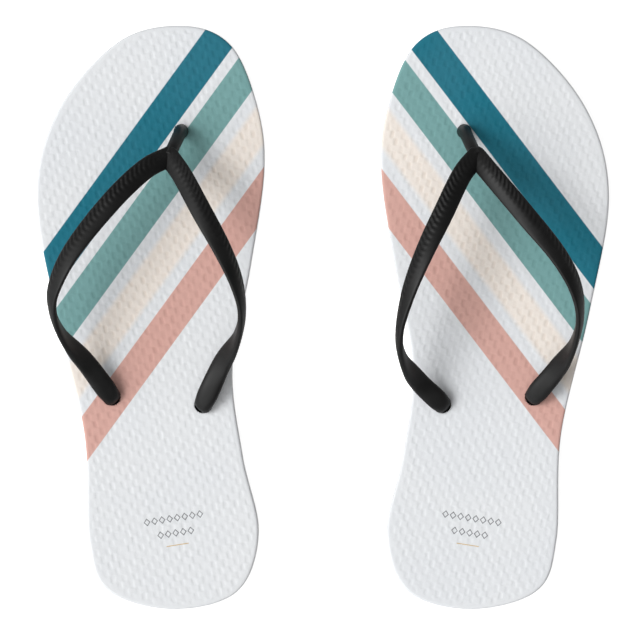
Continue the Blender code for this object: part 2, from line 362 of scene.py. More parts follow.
def floats(*names: str) -> dict[str, str]:
    """Sockets of these names, all for plain numbers."""
    return dict.fromkeys(names, "Float")


def new_relief(name: str, numbers: dict[str, str]) -> tuple[Wiring, Outputs, Inputs]:
    """A new geometry tree that takes a mesh, these numbers and a material, and gives a mesh."""
    inputs = {"Geometry": "Geometry", **numbers, "Material": "Material"}
    return new_group(name, "GeometryNodeTree", inputs, {"Geometry": "Geometry"})


def new_effect(name: str, inputs: dict[str, str], *results: str) -> tuple[Wiring, Outputs, Inputs]:
    """A new shader group that gives these numbers."""
    return new_group(name, "ShaderNodeTree", inputs, floats(*results))


def apply_nodes(obj: bpy.types.Object, tree: Tree, values: dict[str, object]) -> None:
    """Runs a geometry tree on an object and keeps the result as its plain mesh.

    Args:
        obj: The object whose mesh the tree changes.
        tree: The geometry node tree.
        values: The tree's named inputs.
    """
    modifier = obj.modifiers.new(tree.name, "NODES")
    modifier.node_group = tree
    for item in tree.interface.items_tree:
        if item.item_type == "SOCKET" and item.in_out == "INPUT" and item.name in values:
            modifier[item.identifier] = values[item.name]
    bpy.context.view_layer.update()
    shaped = bpy.data.meshes.new_from_object(obj.evaluated_get(bpy.context.evaluated_depsgraph_get()))
    obj.modifiers.remove(modifier)
    old = obj.data
    obj.data = shaped
    bpy.data.meshes.remove(old)


# ---------------------------------------------------------------------------------------------------------
# Surface relief, by geometry nodes
# ---------------------------------------------------------------------------------------------------------


def finish_relief(
    wiring: Wiring, entry: Outputs, leave: Inputs, offset: Socket, name: str, value: Socket
) -> None:
    """Ends a relief tree: moves the points, keeps a value on them and sets the material.

    Args:
        wiring: The tree's wiring.
        entry, leave: What comes into the tree and what leaves it.
        offset: How far each point moves.
        name: The attribute that keeps the value.
        value: The value at each point.
    """
    store = wiring.add("GeometryNodeStoreNamedAttribute", data_type="FLOAT", domain="POINT")
    wiring.feed(store.inputs["Geometry"], entry["Geometry"])
    store.inputs["Name"].default_value = name
    wiring.feed(store.inputs["Value"], value)
    move = wiring.add("GeometryNodeSetPosition")
    wiring.feed(move.inputs["Geometry"], store.outputs["Geometry"])
    wiring.feed(move.inputs["Offset"], offset)
    realize = wiring.add("GeometryNodeRealizeInstances")
    wiring.feed(realize.inputs[0], move.outputs[0])
    dress = wiring.add("GeometryNodeSetMaterial")
    wiring.feed(dress.inputs["Geometry"], realize.outputs[0])
    wiring.feed(dress.inputs["Material"], entry["Material"])
    wiring.feed(leave[0], dress.outputs[0])


def named_value(wiring: Wiring, name: str) -> Socket:
    """The value of a float attribute in a geometry tree."""
    node = wiring.add("GeometryNodeInputNamedAttribute", data_type="FLOAT")
    node.inputs["Name"].default_value = name
    return node.outputs["Attribute"]


def upward(wiring: Wiring, height: Socket) -> Socket:
    """A vector straight up of this length."""
    node = wiring.add("ShaderNodeCombineXYZ")
    wiring.feed(node.inputs["Z"], height)
    return node.outputs[0]


@dataclass(frozen=True)
class PebbleLattice:
    """Where the pebbles of the footbed lie: at the crossings of two families of rows."""

    first_spacing: float = 4.02 * MM
    first_angle: float = radians(-28.6)
    second_spacing: float = 3.88 * MM
    second_angle: float = radians(48.5)
    stretch: float = 0.7
    stray: float = 1.5 * MM
    stray_scale: float = 210.0
    strength_scale: float = 260.0
    weakest: float = 0.35
    strongest: float = 1.25

    def settings(self, side: Side) -> dict[str, float]:
        """The named inputs that every tree with the lattice takes."""
        return {
            "First Spacing": self.first_spacing,
            "First Angle": self.first_angle,
            "Second Spacing": self.second_spacing,
            "Second Angle": self.second_angle,
            "Stretch": self.stretch,
            "Stray": self.stray,
            "Mirror": float(side.value),
        }

    def sockets(self) -> dict[str, str]:
        """The names and kinds of those inputs."""
        return floats(*self.settings(Side.LEFT))

    def wire(self, wiring: Wiring, entry: Outputs, position: Socket) -> tuple[Socket, Socket]:
        """Adds the lattice to a geometry or a shader tree.

        Args:
            wiring: The tree's wiring.
            entry: What comes into the tree, which has the lattice's inputs.
            position: The place of each point.

        Returns:
            How near a point is to the middle of a pebble, from -2 to 2, and how strong the pebble is.
        """
        loose = wiring.noise(position, self.stray_scale, 1.0).outputs["Color"]
        stray = wiring.vector("SCALE", wiring.vector("SUBTRACT", loose, (0.5, 0.5, 0.5)).outputs[0])
        wiring.feed(stray.inputs["Scale"], entry["Stray"])
        place = wiring.split(wiring.vector("ADD", position, stray.outputs[0]).outputs[0])
        across = wiring.times(place["X"], entry["Mirror"])
        phases = []
        for order in ("First", "Second"):
            angle = entry[f"{order} Angle"]
            east = wiring.times(across, wiring.math("COSINE", angle))
            north = wiring.times(place["Y"], wiring.math("SINE", angle))
            phases.append(wiring.times(wiring.over(wiring.plus(east, north), entry[f"{order} Spacing"]), TAU))
        level = wiring.plus(*(wiring.math("COSINE", phase) for phase in phases))
        crossing = wiring.times(*(wiring.math("SINE", phase) for phase in phases))
        patchy = wiring.noise(position, self.strength_scale, 1.0).outputs[0]
        strength = wiring.ramp(patchy, 0.30, 0.70, self.weakest, self.strongest)
        return wiring.plus(level, wiring.times(crossing, entry["Stretch"])), strength


LATTICE = PebbleLattice()


def pebble_tree() -> Tree:
    """Raises flat-topped pebbles, each slightly dished, on a level face."""
    wiring, entry, leave = new_relief("pebble_relief", {**LATTICE.sockets(), **floats("Height")})
    position = wiring.add("GeometryNodeInputPosition").outputs[0]
    swell, strength = LATTICE.wire(wiring, entry, position)
    flank, dished, dish_depth = (-1.5, 0.7), (1.1, 2.1), 0.14
    dish = wiring.ramp(swell, *dished, 0.0, dish_depth)
    pebble = wiring.minus(wiring.ramp(swell, *flank), dish)
    raised = wiring.times(pebble, strength, named_value(wiring, "relief"))
    lift = upward(wiring, wiring.times(raised, entry["Height"]))
    finish_relief(wiring, entry, leave, lift, "pebble", raised)
    return wiring.tree


def tread_tree() -> Tree:
    """Sinks zigzag grooves and a fine diamond grain into a level face."""
    zigzags = floats("Pitch", "First Groove", "Centre", "Wave", "Wave Length", "Groove Width", "Depth")
    wiring, entry, leave = new_relief("tread_relief", {**zigzags, **floats("Grain Pitch", "Grain Depth")})
    place = wiring.split(wiring.add("GeometryNodeInputPosition").outputs[0])
    across = wiring.minus(place["X"], entry["Centre"])
    peak = wiring.size(wiring.minus(wiring.math("FRACT", wiring.over(across, entry["Wave Length"])), 0.5))
    bent = wiring.times(wiring.minus(wiring.times(peak, 4.0), 1.0), entry["Wave"])
    along = wiring.minus(place["Y"], wiring.plus(bent, entry["First Groove"]))
    row = wiring.math("FRACT", wiring.plus(wiring.over(along, entry["Pitch"]), 0.5))
    distance = wiring.times(wiring.size(wiring.minus(row, 0.5)), entry["Pitch"])
    # The groove's lip and floor lie at these shares of its width from its middle.
    lip, floor = (wiring.times(entry["Groove Width"], share) for share in (0.85, 0.25))
    groove = wiring.times(wiring.ramp(distance, lip, floor), named_value(wiring, "relief"))
    diamonds = 1.0
    for direction in (1.0, -1.0):
        slanted = wiring.plus(place["Y"], wiring.times(across, direction))
        turns = wiring.times(wiring.over(slanted, entry["Grain Pitch"]), TAU)
        diamonds = wiring.times(wiring.ramp(wiring.math("COSINE", turns), -0.9, 0.2), diamonds)
    grain = wiring.times(wiring.minus(1.0, diamonds), named_value(wiring, "inside"))
    sunk = wiring.plus(wiring.times(groove, entry["Depth"]), wiring.times(grain, entry["Grain Depth"]))
    finish_relief(wiring, entry, leave, upward(wiring, sunk), "groove", groove)
    return wiring.tree


def rib_tree() -> Tree:
    """Raises slanted ribs on a strap, where its ribbed attribute is above zero."""
    wiring, entry, leave = new_relief("rib_relief", floats("Pitch", "Height"))
    turns = wiring.over(named_value(wiring, "rib_way"), entry["Pitch"])
    wave = wiring.math("COSINE", wiring.times(turns, TAU))
    flank, valley, top = (-0.6, 0.6), -0.65, 0.35
    crest = wiring.times(wiring.ramp(wave, *flank, valley, top), named_value(wiring, "ribbed"))
    push = wiring.vector("SCALE", wiring.add("GeometryNodeInputNormal").outputs[0])
    wiring.feed(push.inputs["Scale"], wiring.times(crest, entry["Height"]))
    finish_relief(wiring, entry, leave, push.outputs[0], "crest", crest)
    return wiring.tree


# ---------------------------------------------------------------------------------------------------------
# Finishes
# ---------------------------------------------------------------------------------------------------------


def srgb(red: int, green: int, blue: int) -> tuple[float, float, float, float]:
    """A linear colour from 8-bit sRGB values."""

    def linear(value: int) -> float:
        """One channel of it."""
        share = value / 255
        return share / 12.92 if share <= 0.04045 else ((share + 0.055) / 1.055) ** 2.4

    return (linear(red), linear(green), linear(blue), 1.0)


def new_material(name: str) -> tuple[bpy.types.Material, Wiring, Node]:
    """A new material, its wiring and its Principled BSDF."""
    material = bpy.data.materials.new(name)
    material.use_nodes = True
    return material, Wiring(material.node_tree), material.node_tree.nodes["Principled BSDF"]


def grain_group() -> Tree:
    """Fine moulded grain: a height to bump with, and a slow drift of tone."""
    inputs = {"Vector": "Vector", **floats("Scale", "Pores")}
    wiring, entry, leave = new_effect("moulded_grain", inputs, "Height", "Drift")
    cell_share, pore, slow_scale = 0.6, (0.05, 0.45), 22.0
    fine = wiring.noise(entry["Vector"], entry["Scale"], 4.0).outputs[0]
    cells = wiring.add("ShaderNodeTexVoronoi", feature="SMOOTH_F1")
    wiring.feed(cells.inputs["Vector"], entry["Vector"])
    wiring.feed(cells.inputs["Scale"], wiring.times(entry["Scale"], cell_share))
    pitted = wiring.times(wiring.ramp(cells.outputs["Distance"], *pore), entry["Pores"])
    wiring.feed(leave["Height"], wiring.plus(fine, pitted))
    slow = wiring.noise(entry["Vector"], slow_scale, 3.0).outputs[0]
    wiring.feed(leave["Drift"], wiring.ramp(slow, 0.3, 0.7))
    return wiring.tree


def crease_group() -> Tree:
    """The fine creases between pebbles: a mask that is 1 in them."""
    inputs = {"Vector": "Vector", **LATTICE.sockets(), **floats("Relief")}
    wiring, entry, leave = new_effect("pebble_creases", inputs, "Crease")
    swell, strength = LATTICE.wire(wiring, entry, entry["Vector"])
    low = wiring.ramp(swell, -1.5, 0.5, 1.0, 0.0)
    wiring.feed(leave["Crease"], wiring.times(low, strength, entry["Relief"]))
    return wiring.tree


def rub_group() -> Tree:
    """Where handling has rubbed a surface: broken patches of a mask."""
    inputs = {"Vector": "Vector", **floats("Mask", "Scale", "Amount")}
    wiring, entry, leave = new_effect("rubbed_places", inputs, "Rub")
    patches = wiring.noise(entry["Vector"], entry["Scale"], 5.0).outputs[0]
    broken = wiring.ramp(patches, 0.42, 0.68)
    wiring.feed(leave["Rub"], wiring.times(broken, entry["Mask"], entry["Amount"]))
    return wiring.tree


def stripe_group() -> Tree:
    """The mask of one printed stripe, from its start to its width along a coordinate."""
    inputs = floats("Coordinate", "Start", "Width", "Softness")
    wiring, entry, leave = new_effect("printed_stripe", inputs, "Mask")
    into = wiring.minus(entry["Coordinate"], entry["Start"])
    nearest = wiring.math("MINIMUM", into, wiring.minus(entry["Width"], into))
    less = wiring.times(entry["Softness"], -1.0)
    wiring.feed(leave["Mask"], wiring.ramp(nearest, less, entry["Softness"]))
    return wiring.tree


def diamond_group() -> Tree:
    """The mask of a row of hollow diamonds, centred on the origin of two coordinates."""
    slimness, rim_size, solid_share = 2.3, 0.86, 0.45
    inputs = floats("Along", "Across", "Length", "Pitch", "Height", "Line")
    wiring, entry, leave = new_effect("diamond_row", inputs, "Mask")
    edge = wiring.times(entry["Length"], 0.5)
    cell = wiring.math("FRACT", wiring.over(wiring.plus(entry["Along"], edge), entry["Pitch"]))
    sideways = wiring.times(wiring.size(wiring.minus(cell, 0.5)), slimness)
    upright = wiring.over(wiring.size(entry["Across"]), wiring.times(entry["Height"], 0.5))
    rim = wiring.size(wiring.minus(wiring.plus(sideways, upright), rim_size))
    drawn = wiring.ramp(rim, entry["Line"], wiring.times(entry["Line"], solid_share))
    inside = wiring.math("LESS_THAN", wiring.size(entry["Along"]), edge)
    wiring.feed(leave["Mask"], wiring.times(drawn, inside))
    return wiring.tree


@dataclass(frozen=True)
class Groups:
    """The shader groups that the finishes share."""

    grain: Tree
    creases: Tree
    rub: Tree
    stripe: Tree
    diamonds: Tree

    @classmethod
    def build(cls) -> Groups:
        """Makes each group once."""
        return cls(grain_group(), crease_group(), rub_group(), stripe_group(), diamond_group())


@dataclass(frozen=True)
class Finish:
    """What every finish has: a name, its roughness, the strength of its fine bump and how it is rubbed."""

    name: str
    roughness: float
    bump: float
    grain_scale: float
    pores: float = 0.0
    bump_depth: float = 0.2 * MM
    specular: float = 0.5
    rough_spread: float = 0.05
    rub_scale: float = 150.0
    rub_amount: float = 0.3

    def start(self, groups: Groups) -> tuple[Wiring, Node, Socket, Node]:
        """A new material with its shader, and the grain that every rubber here has.

        Returns:
            The wiring, the Principled BSDF, the object coordinates and the grain group's node.
        """
        _, wiring, shader = new_material(self.name)
        place = wiring.add("ShaderNodeTexCoord").outputs["Object"]
        grain = wiring.group(groups.grain, Vector=place, Scale=self.grain_scale, Pores=self.pores)
        bump = wiring.add("ShaderNodeBump")
        bump.inputs["Strength"].default_value = self.bump
        bump.inputs["Distance"].default_value = self.bump_depth
        wiring.feed(bump.inputs["Height"], grain.outputs["Height"])
        wiring.feed(shader.inputs["Normal"], bump.outputs[0])
        shader.inputs["Metallic"].default_value = 0.0
        shader.inputs["Specular IOR Level"].default_value = self.specular
        return wiring, shader, place, grain

    def rub(self, wiring: Wiring, groups: Groups, place: Socket, mask: Value) -> Socket:
        """Where handling has rubbed it, within a mask."""
        patches = {"Mask": mask, "Scale": self.rub_scale, "Amount": self.rub_amount}
        return wiring.group(groups.rub, Vector=place, **patches).outputs[0]

    def finished(self, wiring: Wiring, shader: Node, grain: Node, colour: Socket) -> bpy.types.Material:
        """Sets the colour, lets the roughness drift about its own value, and gives the material."""
        wiring.feed(shader.inputs["Base Color"], colour)
        least, most = self.roughness - self.rough_spread, self.roughness + self.rough_spread
        wiring.feed(shader.inputs["Roughness"], wiring.ramp(grain.outputs["Drift"], 0.0, 1.0, least, most))
        return bpy.data.materials[self.name]


class Ink(Enum):
    """The print's colours."""

    TEAL = (22, 114, 134)
    SAGE = (121, 167, 166)
    CREAM = (246, 237, 228)
    PINK = (219, 172, 161)
    CHARCOAL = (74, 76, 80)
    GOLD = (214, 186, 140)


@dataclass(frozen=True)
class Stripe:
    """One printed stripe: its ink, its start and width, and a darker tone painted as shade in the creases
    between pebbles, with how strongly it is painted.
    """

    ink: Ink
    start: float
    width: float
    # The tone of the painted shade in the creases between pebbles.
    deep: Tone
    # How strongly that painted crease shade darkens the ink.
    crease_shade_strength: float


# Each stripe ends with its painted crease shade: the darker tone and how strongly it is painted.
STRIPES: list[Stripe] = [
    Stripe(Ink.TEAL, 0.0, 14.4 * MM, (14, 96, 114), 0.2),
    Stripe(Ink.SAGE, 19.4 * MM, 13.4 * MM, (94, 138, 135), 0.2),
    Stripe(Ink.CREAM, 38.6 * MM, 12.6 * MM, (222, 206, 190), 0.3),
    Stripe(Ink.PINK, 57.1 * MM, 13.6 * MM, (186, 134, 124), 0.22),
]

# How the print lies on each foot: the angle of its stripes, and how far they are shifted.
STRIPE_LIES: dict[Side, tuple[float, float]] = {
    Side.LEFT: (radians(53.9), -0.6 * MM),
    Side.RIGHT: (radians(52.7), 0.5 * MM),
}


@dataclass(frozen=True)
class PrintedRubber(Finish):
    """White footbed rubber with four diagonal stripes and a small ornament on the heel."""

    base: Tone = (234, 236, 238)
    drift: Tone = (228, 231, 235)
    specular: float = 0.18
    stripe_start: Share = (0.493, 0.992)
    feathered: float = 1.6 * MM
    crisp: float = 0.22 * MM
    wash: float = 0.015
    crease_bump: float = 0.4
    crease_depth: float = 0.1 * MM
    ornament_centre: Share = (0.203, 0.156)
    ornament_tilt: float = radians(9)
    diamond_rows: tuple[tuple[float, float], ...] = ((0.0, 27.2 * MM), (-6.6 * MM, 17.0 * MM))
    diamond_pitch: float = 3.4 * MM
    diamond_height: float = 3.4 * MM
    diamond_line: float = 0.22
    diamond_ink: float = 0.85
    rule_place: float = -12.0 * MM
    rule_length: float = 10.0 * MM
    rule_width: float = 0.4 * MM

    def build(self, groups: Groups, plan: SolePlan) -> bpy.types.Material:
        """Makes the material.

        Args:
            groups: The shared shader groups.
            plan: The plan of the sandal that wears the print.

        Returns:
            The material.
        """
        wiring, shader, place, grain = self.start(groups)
        parts = wiring.split(place)
        inwards = wiring.times(parts["X"], float(plan.side.value))
        crease = self.creases(wiring, shader, groups, place, plan.side)
        tone = wiring.times(grain.outputs["Drift"], 0.5)
        colour = wiring.mix(tone, srgb(*self.base), srgb(*self.drift))
        angle, shift = STRIPE_LIES[plan.side]
        start = plan.drawn(self.stripe_start)
        across = self.project(wiring, inwards, parts["Y"], start, (sin(angle), -cos(angle)))
        for stripe in STRIPES:
            mask = wiring.group(
                groups.stripe,
                Coordinate=across,
                Start=stripe.start + shift,
                Width=stripe.width,
                Softness=self.feathered if stripe.ink is Ink.CREAM else self.crisp,
            ).outputs[0]
            # Painted shade: the ink darkens towards the darker tone in the creases between pebbles.
            painted_crease_shade = wiring.times(crease, stripe.crease_shade_strength)
            ink = wiring.mix(painted_crease_shade, srgb(*stripe.ink.value), srgb(*stripe.deep))
            pale = wiring.times(grain.outputs["Drift"], self.wash)
            colour = wiring.mix(mask, colour, wiring.mix(pale, ink, WHITE))
        colour = self.ornament(wiring, groups, plan, inwards, parts["Y"], colour)
        edge = wiring.ramp(wiring.attribute("printed"), 0.25, 0.75)
        return self.finished(wiring, shader, grain, wiring.mix(edge, srgb(*self.base), colour))

    def creases(self, wiring: Wiring, shader: Node, groups: Groups, place: Socket, side: Side) -> Socket:
        """Sinks the creases between the pebbles in the shader's bump, and gives their mask."""
        lattice = {name.replace(" ", "_"): value for name, value in LATTICE.settings(side).items()}
        relief = wiring.attribute("relief")
        crease = wiring.group(groups.creases, Vector=place, Relief=relief, **lattice).outputs[0]
        fine = shader.inputs["Normal"].links[0].from_node
        sunk = wiring.add("ShaderNodeBump", invert=True)
        sunk.inputs["Strength"].default_value = self.crease_bump
        sunk.inputs["Distance"].default_value = self.crease_depth
        wiring.feed(sunk.inputs["Height"], crease)
        wiring.feed(sunk.inputs["Normal"], fine.outputs[0])
        wiring.feed(shader.inputs["Normal"], sunk.outputs[0])
        return crease

    @staticmethod
    def project(wiring: Wiring, x: Socket, y: Socket, origin: Vector, direction: Share) -> Socket:
        """How far a point lies from an origin along a direction."""
        east = wiring.times(wiring.minus(x, origin.x), direction[0])
        north = wiring.times(wiring.minus(y, origin.y), direction[1])
        return wiring.plus(east, north)

    def ornament(
        self, wiring: Wiring, groups: Groups, plan: SolePlan, x: Socket, y: Socket, under: Socket
    ) -> Socket:
        """Prints two rows of hollow diamonds and a short gold rule over a colour."""
        centre = plan.drawn(self.ornament_centre)
        tilt = self.ornament_tilt
        along = self.project(wiring, x, y, centre, (cos(tilt), sin(tilt)))
        across = self.project(wiring, x, y, centre, (-sin(tilt), cos(tilt)))
        colour = under
        for shift, length in self.diamond_rows:
            mask = wiring.group(
                groups.diamonds,
                Along=along,
                Across=wiring.minus(across, shift),
                Length=length,
                Pitch=self.diamond_pitch,
                Height=self.diamond_height,
                Line=self.diamond_line,
            ).outputs[0]
            colour = wiring.mix(wiring.times(mask, self.diamond_ink), colour, srgb(*Ink.CHARCOAL.value))
        off_rule = wiring.size(wiring.minus(across, self.rule_place))
        line = wiring.math("LESS_THAN", off_rule, self.rule_width / 2)
        short = wiring.math("LESS_THAN", wiring.size(along), self.rule_length / 2)
        return wiring.mix(wiring.times(line, short), colour, srgb(*Ink.GOLD.value))


@dataclass(frozen=True)
class FoamEdge(Finish):
    """White closed-cell foam, with the pores and faint level lines of a die-cut wall."""

    base: Tone = (238, 238, 236)
    shade: Tone = (222, 221, 217)
    soiled: Tone = (206, 204, 198)
    line_stretch: tuple[float, float, float] = (30.0, 30.0, 2200.0)
    line_strength: float = 0.45
    rough_spread: float = 0.06
    rub_scale: float = 260.0
    rub_amount: float = 0.5

    def build(self, groups: Groups) -> bpy.types.Material:
        """Makes the material."""
        wiring, shader, place, grain = self.start(groups)
        stretched = wiring.vector("MULTIPLY", place, self.line_stretch).outputs[0]
        lines = wiring.ramp(wiring.noise(stretched, 1.0).outputs[0], 0.35, 0.7)
        lined = wiring.times(lines, self.line_strength)
        mottled = wiring.mix(lined, srgb(*self.base), srgb(*self.shade))
        rub = self.rub(wiring, groups, place, wiring.attribute("rim"))
        return self.finished(wiring, shader, grain, wiring.mix(rub, mottled, srgb(*self.soiled)))


@dataclass(frozen=True)
class TreadRubber(Finish):
    """Pale solid rubber, greyer in its grooves with painted shade, and scuffed on its lands."""

    base: Tone = (228, 228, 226)
    # The grey painted in the grooves as shade.
    groove: Tone = (196, 197, 197)
    scuffed: Tone = (202, 200, 195)
    rough_spread: float = 0.08
    rub_scale: float = 120.0
    rub_amount: float = 0.4

    def build(self, groups: Groups) -> bpy.types.Material:
        """Makes the material."""
        wiring, shader, place, grain = self.start(groups)
        # Painted shade: the grooves are greyed as far as they sink.
        sunk = wiring.attribute("groove")
        rubber = wiring.mix(sunk, srgb(*self.base), srgb(*self.groove))
        rub = self.rub(wiring, groups, place, wiring.minus(1.0, sunk))
        return self.finished(wiring, shader, grain, wiring.mix(rub, rubber, srgb(*self.scuffed)))


@dataclass(frozen=True)
class StrapRubber(Finish):
    """Black moulded rubber with a soft sheen, paler where it is dusty and with a painted highlight on its rib
    crests.
    """

    base: Tone = (15, 15, 15)
    # One pale tone for the dust patches and for the painted highlight on the rib crests.
    dust_and_highlight_tone: Tone = (32, 32, 32)
    specular: float = 0.3
    # How strongly the painted highlight lightens the rib crests.
    crest_highlight: float = 0.25

    def build(self, groups: Groups) -> bpy.types.Material:
        """Makes the material."""
        wiring, shader, place, grain = self.start(groups)
        # Painted highlight: the rib crests are lightened, and joined with the dust patches.
        crest = wiring.ramp(wiring.attribute("crest"), 0.1, 0.5, 0.0, self.crest_highlight)
        dust_and_highlight = wiring.math("MAXIMUM", self.rub(wiring, groups, place, 1.0), crest)
        return self.finished(wiring, shader, grain, wiring.mix(dust_and_highlight, srgb(*self.base), srgb(*self.dust_and_highlight_tone)))


@dataclass(frozen=True)
class Wardrobe:
    """Every finish of the pair, made once. The print has one for each foot."""

    footbeds: dict[Side, bpy.types.Material]
    midsole: bpy.types.Material
    outsole: bpy.types.Material
    strap: bpy.types.Material

    @classmethod
    def build(cls, plans: Sequence[SolePlan]) -> Wardrobe:
        """Makes the materials for these sandals."""
        groups = Groups.build()
        prints = {
            plan.side: PrintedRubber(
                f"{plan.side.label}_print", roughness=0.66, bump=0.25, grain_scale=2600.0
            ).build(groups, plan)
            for plan in plans
        }
        foam = FoamEdge("foam_edge", roughness=0.86, bump=0.6, grain_scale=1500.0, pores=1.2)
        tread = TreadRubber("tread_rubber", roughness=0.72, bump=0.35, grain_scale=1900.0)
        strap = StrapRubber("strap_rubber", roughness=0.5, bump=0.22, grain_scale=3200.0)
        return cls(prints, foam.build(groups), tread.build(groups), strap.build(groups))


# ---------------------------------------------------------------------------------------------------------
# Sheets of the sole
# ---------------------------------------------------------------------------------------------------------


@dataclass(frozen=True)
class Relief:
    """Where a sheet's face carries relief: how far inside the rim and the holes it starts, and how softly."""

    spacing: float
    rim_margin: float
    hole_margin: float
    fade: float


@dataclass(frozen=True)
class Hole:
    """A round hole through a sheet, with a softened lip at each end."""

    centre: Vector
    radius: float
    lip: float


@dataclass(frozen=True)
class Sheet:
    """One layer of the sole: a closed solid between two heights, with rounded rims and round holes."""

    plan: SolePlan
    bottom: float
    top: float
    bottom_round: float
    top_round: float
    holes: tuple[Hole, ...]
    top_relief: Relief | None = None
    bottom_relief: Relief | None = None
    arc_steps: int = 4
    wall_steps: int = 6
    hole_points: int = 48

    def profile(self, bottom_round: float, top_round: float) -> list[tuple[float, float]]:
        """A wall's section from the bottom face up to the top face, as (distance from the wall, height)."""
        steps = range(self.arc_steps + 1)
        section = []
        for k in steps:
            turn = pi / 2 * (1 - k / self.arc_steps)
            section.append((bottom_round * (1 - cos(turn)), self.bottom + bottom_round * (1 - sin(turn))))
        low, high = self.bottom + bottom_round, self.top - top_round
        section += [(0.0, low + (high - low) * k / self.wall_steps) for k in range(1, self.wall_steps)]
        for k in steps:
            turn = pi / 2 * k / self.arc_steps
            section.append((top_round * (1 - cos(turn)), high + top_round * sin(turn)))
        return section

    def build(self, name: str) -> bpy.types.Object:
        """Makes the layer's mesh and its object."""
        builder = bmesh.new()
        layers = {key: builder.verts.layers.float.new(key) for key in ("relief", "inside", "printed", "rim")}
        outline = self.plan.outline()
        outer = []
        for distance, z in self.profile(self.bottom_round, self.top_round):
            outer.append([builder.verts.new((p.x, p.y, z)) for p in inset(outline, distance)])
        self.skin(builder, outer)
        walls = [self.hole_wall(builder, hole) for hole in self.holes]
        for end, relief in ((-1, self.top_relief), (0, self.bottom_relief)):
            self.cap(builder, layers, outer[end], [wall[end] for wall in walls], relief)
        for vert in builder.verts:
            vert[layers["printed"]] = smooth_step((vert.co.z - self.top + self.top_round) / self.top_round)
            share = (vert.co.z - self.bottom) / (self.top - self.bottom)
            vert[layers["rim"]] = abs(2 * share - 1) ** 6
        bmesh.ops.recalc_face_normals(builder, faces=builder.faces)
        return object_from(builder, name)

    def hole_wall(self, builder: bmesh.types.BMesh, hole: Hole) -> list[list[bmesh.types.BMVert]]:
        """The wall of one hole, as rings from the bottom face to the top face."""
        rings = []
        for distance, z in self.profile(hole.lip, hole.lip):
            loop = circle(hole.centre, hole.radius + distance, self.hole_points)
            rings.append([builder.verts.new((p.x, p.y, z)) for p in loop])
        self.skin(builder, rings)
        return rings

    @staticmethod
    def skin(builder: bmesh.types.BMesh, rings: Sequence[Ring]) -> None:
        """Joins closed rings of the same count with quads."""
        for lower, upper in zip(rings, rings[1:]):
            count = len(lower)
            for k in range(count):
                after = (k + 1) % count
                builder.faces.new((lower[k], lower[after], upper[after], upper[k]))

    def cap(
        self,
        builder: bmesh.types.BMesh,
        layers: dict[str, bmesh.types.BMLayerItem],
        rim: Ring,
        hole_rims: Sequence[Ring],
        relief: Relief | None,
    ) -> None:
        """Fills one face of the sheet inside its rim and round its holes.

        Args:
            builder: The mesh being made.
            layers: The mesh's float attributes.
            rim: The face's outer loop of vertices.
            hole_rims: The loops round its holes.
            relief: The face's relief, or None to fill it with few triangles.
        """
        verts = [vert for loop in (rim, *hole_rims) for vert in loop]
        edges = []
        first = 0
        for loop in (rim, *hole_rims):
            count = len(loop)
            edges += [(first + k, first + (k + 1) % count) for k in range(count)]
            first += count
        z = rim[0].co.z
        points = [vert.co.xy for vert in verts]
        for spot, to_rim, to_hole in self.grid(rim, hole_rims, relief):
            vert = builder.verts.new((spot[0], spot[1], z))
            inner = min(to_rim - relief.rim_margin, to_hole - relief.hole_margin) / relief.fade
            vert[layers["relief"]] = smooth_step(inner)
            vert[layers["inside"]] = smooth_step(min(to_rim, to_hole) / relief.fade - 0.3)
            verts.append(vert)
            points.append(Vector(spot))
        _, _, faces, origins, _, _ = delaunay_2d_cdt(points, edges, [], 1, 1e-7)
        for face in faces:
            corners = [verts[origins[index][0]] for index in face]
            middle = sum((corner.co for corner in corners), Vector()) / len(corners)
            if all((middle.xy - hole.centre.xy).length > hole.radius for hole in self.holes):
                builder.faces.new(corners)

    @staticmethod
    def grid(
        rim: Ring, hole_rims: Sequence[Ring], relief: Relief | None
    ) -> Iterator[tuple[Share, float, float]]:
        """Points of a triangular grid inside the rim, with their distances to the rim and to the holes."""
        if relief is None:
            return
        trees = []
        for loops in ([rim], hole_rims):
            loose = [vert for loop in loops for vert in loop]
            tree = KDTree(len(loose))
            for index, vert in enumerate(loose):
                tree.insert(vert.co, index)
            tree.balance()
            trees.append(tree)
        z = rim[0].co.z
        low, high = (pick(vert.co.y for vert in rim) for pick in (min, max))
        step = relief.spacing * sqrt(3) / 2
        for row in range(1, int((high - low) / step) + 1):
            y = low + row * step
            ends = Sheet.crossings(rim, y)
            if len(ends) < 2:
                continue
            start = relief.spacing * (int(min(ends) / relief.spacing) - 1 + 0.5 * (row % 2))
            for k in range(int((max(ends) - start) / relief.spacing) + 1):
                x = start + k * relief.spacing
                if not min(ends) < x < max(ends):
                    continue
                to_rim, to_hole = (tree.find(Vector((x, y, z)))[2] for tree in trees)
                if min(to_rim, to_hole) > 0.55 * relief.spacing:
                    yield (x, y), to_rim, to_hole

    @staticmethod
    def crossings(rim: Ring, y: float) -> list[float]:
        """Where a level line across the sole meets its rim."""
        found = []
        for start, end in zip(rim, [*rim[1:], rim[0]]):
            if (start.co.y <= y) != (end.co.y <= y):
                share = (y - start.co.y) / (end.co.y - start.co.y)
                found.append(start.co.x + share * (end.co.x - start.co.x))
        return found


def object_from(builder: bmesh.types.BMesh, name: str) -> bpy.types.Object:
    """A smooth-shaded object of a built mesh, at the origin of the scene."""
    mesh = bpy.data.meshes.new(name)
    builder.to_mesh(mesh)
    builder.free()
    mesh.shade_smooth()
    made = bpy.data.objects.new(name, mesh)
    bpy.context.scene.collection.objects.link(made)
    return made


# ---------------------------------------------------------------------------------------------------------
# Strap
# ---------------------------------------------------------------------------------------------------------


@dataclass(frozen=True)
class Station:
    """A place along an arm, where its outer edge faces (away from the middle of the foot, forward, up).

    height is a share of the instep height. roof and ribbed are those of the section there.
    """

    height: float
    edge: tuple[float, float, float]
    roof: float
    ribbed: float


